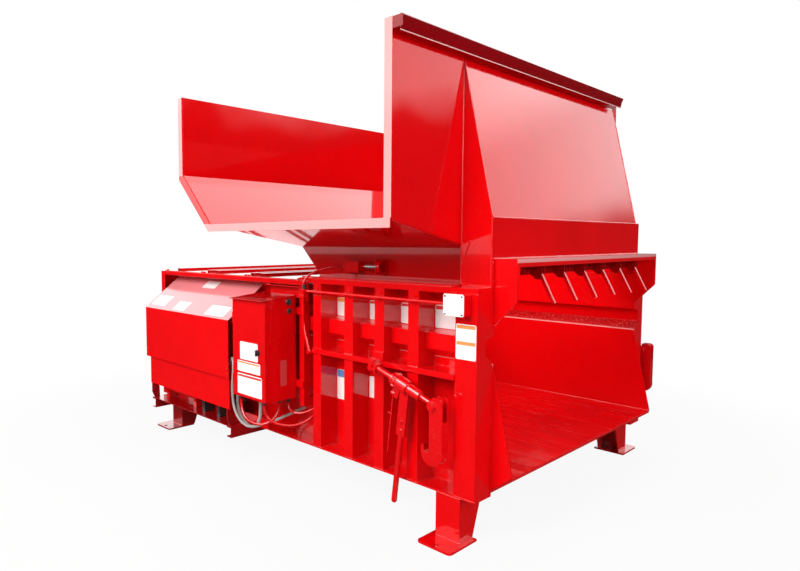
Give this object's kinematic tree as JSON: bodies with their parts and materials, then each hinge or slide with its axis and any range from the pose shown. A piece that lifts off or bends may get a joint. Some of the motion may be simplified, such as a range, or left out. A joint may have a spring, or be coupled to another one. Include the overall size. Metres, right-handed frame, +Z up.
{
  "type": "stationary waste compactor",
  "caption": "Floor-standing waste compactor with a charge box and hydraulic ram, side-loading hopper, hooded power unit, control box, retainer fingers and ratchet turnbuckle hooks.",
  "frame": {"origin": "on the ground, at the centre of the four anchor holes in the feet", "axes": "+X in the packing direction out of the discharge end, -Y to the operator's side with the hopper mouth, the hood and the control box, +Z up"},
  "size_m": [2.7768, 2.243, 2.141],
  "materials": {
    "red_paint": "gloss enamel on welded steel",
    "black_paint": "satin black paint on steel",
    "black_plastic": "moulded black plastic",
    "equipment_grey": "grey moulded switchgear on a plate",
    "rod_chrome": "hard chrome plated steel",
    "hose_red": "smooth sheath painted red",
    "cable_grey": "grey cable sheath"
  },
  "bodies": {
    "frame": {"floor_plate": "red_paint", "side_walls": "red_paint", "ribs": "red_paint", "posts": "red_paint", "side_rails": "red_paint", "power_unit_frame": "red_paint", "legs": "red_paint", "rear_frame": "red_paint", "top_covers": "red_paint", "hopper_rear": "red_paint", "hopper_chute": "red_paint", "hopper_front": "red_paint", "hopper_far_wall": "red_paint", "hopper_rims": "red_paint", "front_panel": "red_paint", "canopy": "red_paint", "finger_brackets": "red_paint", "guide_wings": "red_paint", "hood": "red_paint", "control_box": "red_paint", "box_bracket": "red_paint", "cable_glands": "black_plastic", "contactor_plate": "equipment_grey", "photo_eye": "red_paint", "station_box": "red_paint", "conduits": "red_paint", "hook_lugs": "red_paint", "cylinder_barrel": "black_paint", "oil_tank": "red_paint", "motor_pump": "black_paint", "hose_loop_a": "hose_red", "hose_loop_b": "hose_red", "hose_loop_c": "hose_red", "motor_cable": "cable_grey", "signal_cable": "hose_red"},
    "ram": {"ram": "red_paint", "cylinder_rod": "rod_chrome"},
    "door": {"control_door": "red_paint"},
    "latch": {"door_latch": "black_plastic"},
    "knob": {"selector_knob": "black_plastic"},
    "finger_1_body": {"finger_1": "red_paint"},
    "finger_2_body": {"finger_2": "red_paint"},
    "finger_3_body": {"finger_3": "red_paint"},
    "finger_4_body": {"finger_4": "red_paint"},
    "finger_5_body": {"finger_5": "red_paint"},
    "finger_6_body": {"finger_6": "red_paint"},
    "near_rear_screw_body": {"near_rear_screw": "red_paint"},
    "near_thrust_ring_body": {"near_thrust_ring": "red_paint"},
    "near_sleeve_body": {"near_sleeve": "red_paint"},
    "near_front_screw_body": {"near_front_screw": "red_paint"},
    "near_handle_body": {"near_handle": "red_paint"},
    "near_pawl_body": {"near_pawl": "red_paint"},
    "near_hook_body": {"near_hook": "red_paint"},
    "far_rear_screw_body": {"far_rear_screw": "red_paint"},
    "far_thrust_ring_body": {"far_thrust_ring": "red_paint"},
    "far_sleeve_body": {"far_sleeve": "red_paint"},
    "far_front_screw_body": {"far_front_screw": "red_paint"},
    "far_handle_body": {"far_handle": "red_paint"},
    "far_pawl_body": {"far_pawl": "red_paint"},
    "far_hook_body": {"far_hook": "red_paint"}
  },
  "joints": [
    {"name": "ram_slide", "type": "slide", "parent": "frame", "child": "ram", "axis": [1, 0, 0], "range_m": [0, 1.21]},
    {"name": "finger_1_hinge", "type": "hinge", "parent": "frame", "child": "finger_1_body", "pos_m": [1.364, -0.52, 1.177], "axis": [0, -1, 0], "range_deg": [0, 60]},
    {"name": "finger_2_hinge", "type": "hinge", "parent": "frame", "child": "finger_2_body", "pos_m": [1.364, -0.312, 1.177], "axis": [0, -1, 0], "range_deg": [0, 60]},
    {"name": "finger_3_hinge", "type": "hinge", "parent": "frame", "child": "finger_3_body", "pos_m": [1.364, -0.104, 1.177], "axis": [0, -1, 0], "range_deg": [0, 60]},
    {"name": "finger_4_hinge", "type": "hinge", "parent": "frame", "child": "finger_4_body", "pos_m": [1.364, 0.104, 1.177], "axis": [0, -1, 0], "range_deg": [0, 60]},
    {"name": "finger_5_hinge", "type": "hinge", "parent": "frame", "child": "finger_5_body", "pos_m": [1.364, 0.312, 1.177], "axis": [0, -1, 0], "range_deg": [0, 60]},
    {"name": "finger_6_hinge", "type": "hinge", "parent": "frame", "child": "finger_6_body", "pos_m": [1.364, 0.52, 1.177], "axis": [0, -1, 0], "range_deg": [0, 60]},
    {"name": "door_hinge", "type": "hinge", "parent": "frame", "child": "door", "pos_m": [-0.145, -1.092, 0.715], "axis": [0, 0, -1], "range_deg": [0, 120]},
    {"name": "latch_turn", "type": "hinge", "parent": "door", "child": "latch", "pos_m": [0.097, -1.098, 0.71], "axis": [0, 1, 0], "range_deg": [0, 90]},
    {"name": "knob_turn", "type": "hinge", "parent": "frame", "child": "knob", "pos_m": [0.166, -0.94, 0.976], "axis": [1, 0, 0], "range_deg": [0, 90]},
    {"name": "near_turnbuckle_swing", "type": "hinge", "parent": "frame", "child": "near_rear_screw_body", "pos_m": [0.765, -0.94, 0.728], "axis": [-0.3289, 0, -0.9444], "range_deg": [0, 50]},
    {"name": "near_ring_slide", "type": "slide", "parent": "near_rear_screw_body", "child": "near_thrust_ring_body", "axis": [0.9444, 0, -0.3289], "range_m": [0, 0.06]},
    {"name": "near_sleeve_spin", "type": "hinge", "parent": "near_thrust_ring_body", "child": "near_sleeve_body", "pos_m": [0.97937, -0.94, 0.65335], "axis": [0.9444, 0, -0.3289], "range_deg": [0, 3600]},
    {"name": "near_front_slide", "type": "slide", "parent": "near_thrust_ring_body", "child": "near_front_screw_body", "axis": [0.9444, 0, -0.3289], "range_m": [0, 0.06]},
    {"name": "near_handle_swing", "type": "hinge", "parent": "near_thrust_ring_body", "child": "near_handle_body", "pos_m": [0.9586, -0.94, 0.66058], "axis": [-0.9444, 0, 0.3289], "range_deg": [0, 110]},
    {"name": "near_pawl_rock", "type": "hinge", "parent": "near_handle_body", "child": "near_pawl_body", "pos_m": [0.89949, -0.94, 0.61552], "axis": [-0.9444, 0, 0.3289], "range_deg": [-6, 12]},
    {"name": "near_hook_swing", "type": "hinge", "parent": "near_front_screw_body", "child": "near_hook_body", "pos_m": [1.12858, -0.94, 0.60139], "axis": [0, -1, 0], "range_deg": [0, 100]},
    {"name": "far_turnbuckle_swing", "type": "hinge", "parent": "frame", "child": "far_rear_screw_body", "pos_m": [0.791, 0.94, 0.728], "axis": [0.1771, 0, 0.9842], "range_deg": [0, 50]},
    {"name": "far_ring_slide", "type": "slide", "parent": "far_rear_screw_body", "child": "far_thrust_ring_body", "axis": [0.9842, 0, -0.1771], "range_m": [-0.06, 0]},
    {"name": "far_sleeve_spin", "type": "hinge", "parent": "far_thrust_ring_body", "child": "far_sleeve_body", "pos_m": [1.07396, 0.94, 0.67709], "axis": [0.9842, 0, -0.1771], "range_deg": [-3600, 0]},
    {"name": "far_front_slide", "type": "slide", "parent": "far_thrust_ring_body", "child": "far_front_screw_body", "axis": [0.9842, 0, -0.1771], "range_m": [-0.06, 0]},
    {"name": "far_handle_swing", "type": "hinge", "parent": "far_thrust_ring_body", "child": "far_handle_body", "pos_m": [1.0523, 0.94, 0.68098], "axis": [0.9842, 0, -0.1771], "range_deg": [0, 110]},
    {"name": "far_pawl_rock", "type": "hinge", "parent": "far_handle_body", "child": "far_pawl_body", "pos_m": [1.00097, 0.94, 0.62722], "axis": [0.9842, 0, -0.1771], "range_deg": [-6, 12]},
    {"name": "far_hook_swing", "type": "hinge", "parent": "far_front_screw_body", "child": "far_hook_body", "pos_m": [1.289, 0.94, 0.6384], "axis": [0, -1, 0], "range_deg": [0, 100]}
  ],
  "couplings": [
    {"joint": "near_sleeve_spin", "follows": "near_ring_slide", "rad_per_m": 1047},
    {"joint": "near_front_slide", "follows": "near_ring_slide", "ratio": 1},
    {"joint": "far_sleeve_spin", "follows": "far_ring_slide", "rad_per_m": 1047},
    {"joint": "far_front_slide", "follows": "far_ring_slide", "ratio": 1}
  ]
}
